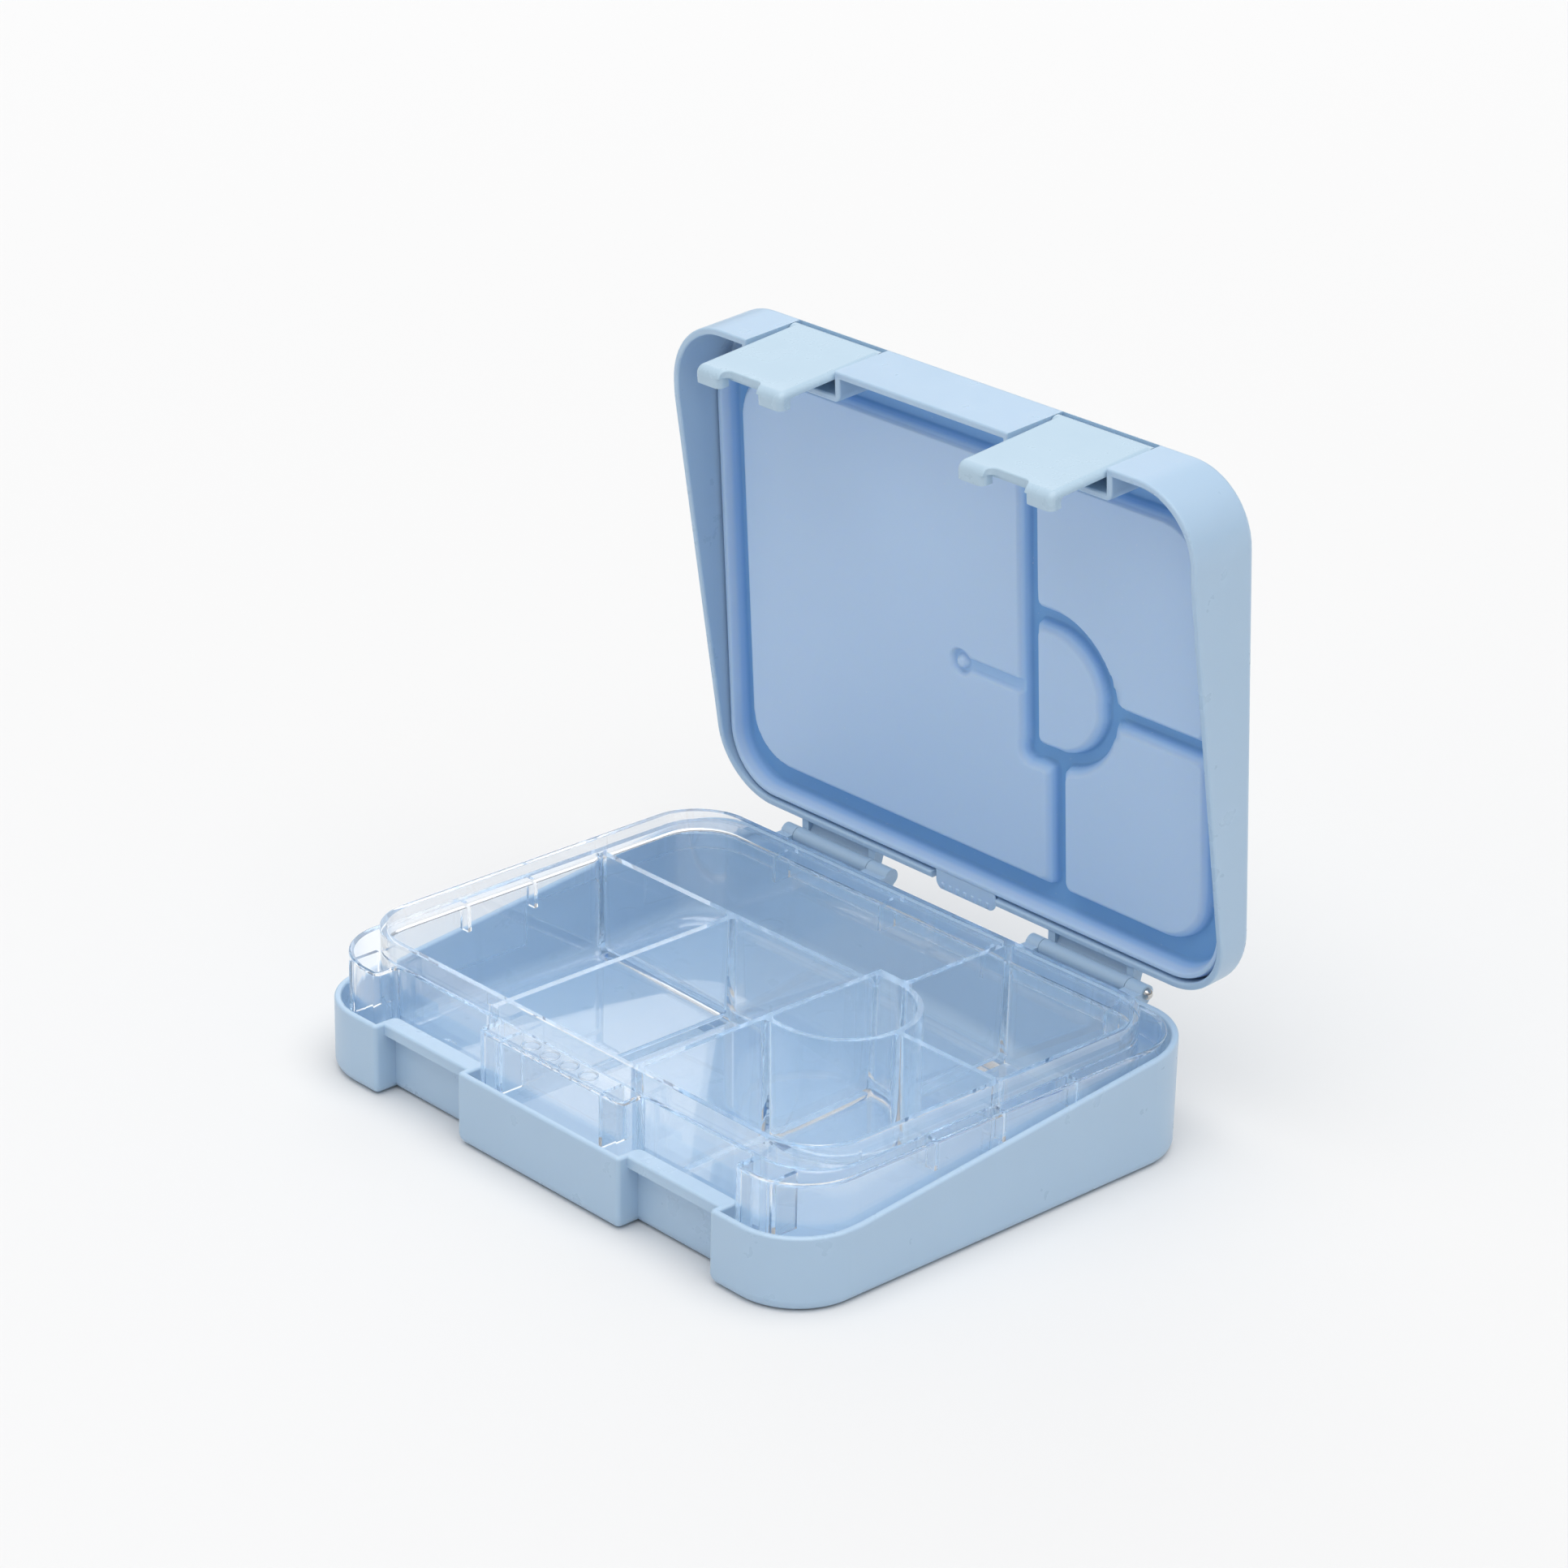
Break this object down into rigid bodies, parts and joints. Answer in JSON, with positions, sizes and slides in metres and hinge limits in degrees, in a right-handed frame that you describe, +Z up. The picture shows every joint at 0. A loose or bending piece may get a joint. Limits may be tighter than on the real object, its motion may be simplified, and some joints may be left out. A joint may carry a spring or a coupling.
{
  "type": "bento lunch box",
  "caption": "Hinged lunch box with a wedge-shaped base and lid, two swing latches, a lift-out clear compartment tray and a silicone seal in the lid.",
  "frame": {"origin": "middle of the base's flat underside", "axes": "+Z up out of the base, +X to the right seen from the latches, +Y from the latches to the hinges; the lid stands open"},
  "size_m": [0.216, 0.181, 0.2072],
  "materials": {
    "shell_blue": "satin pale blue",
    "latch_blue": "satin pale blue",
    "clear_tray": "clear polished copolyester",
    "seal_silicone": "satin silicone",
    "pin_steel": "polished stainless"
  },
  "bodies": {
    "base": {"base_shell": "shell_blue", "hinge_pin_left": "pin_steel", "hinge_pin_right": "pin_steel"},
    "tray": {"tray": "clear_tray"},
    "lid": {"lid_shell": "shell_blue", "latch_pin_left": "pin_steel", "latch_pin_right": "pin_steel"},
    "seal": {"seal": "seal_silicone"},
    "left_latch": {"latch_left": "latch_blue"},
    "right_latch": {"latch_right": "latch_blue"}
  },
  "joints": [
    {"name": "lid_hinge", "type": "hinge", "parent": "base", "child": "lid", "pos_m": [0, 0.0878, 0.0367], "axis": [-1, 0, 0], "range_deg": [-86, 0]},
    {"name": "left_latch_swing", "type": "hinge", "parent": "lid", "child": "left_latch", "pos_m": [0, 0.08239, 0.20433], "axis": [-1, 0, 0], "range_deg": [0, 95]},
    {"name": "right_latch_swing", "type": "hinge", "parent": "lid", "child": "right_latch", "pos_m": [0, 0.08239, 0.20433], "axis": [-1, 0, 0], "range_deg": [0, 95]},
    {"name": "tray_lift", "type": "slide", "parent": "base", "child": "tray", "axis": [0, 0, 1], "range_m": [0, 0.06]},
    {"name": "seal_pull", "type": "slide", "parent": "lid", "child": "seal", "axis": [0, -0.9976, -0.0698], "range_m": [0, 0.006]}
  ]
}
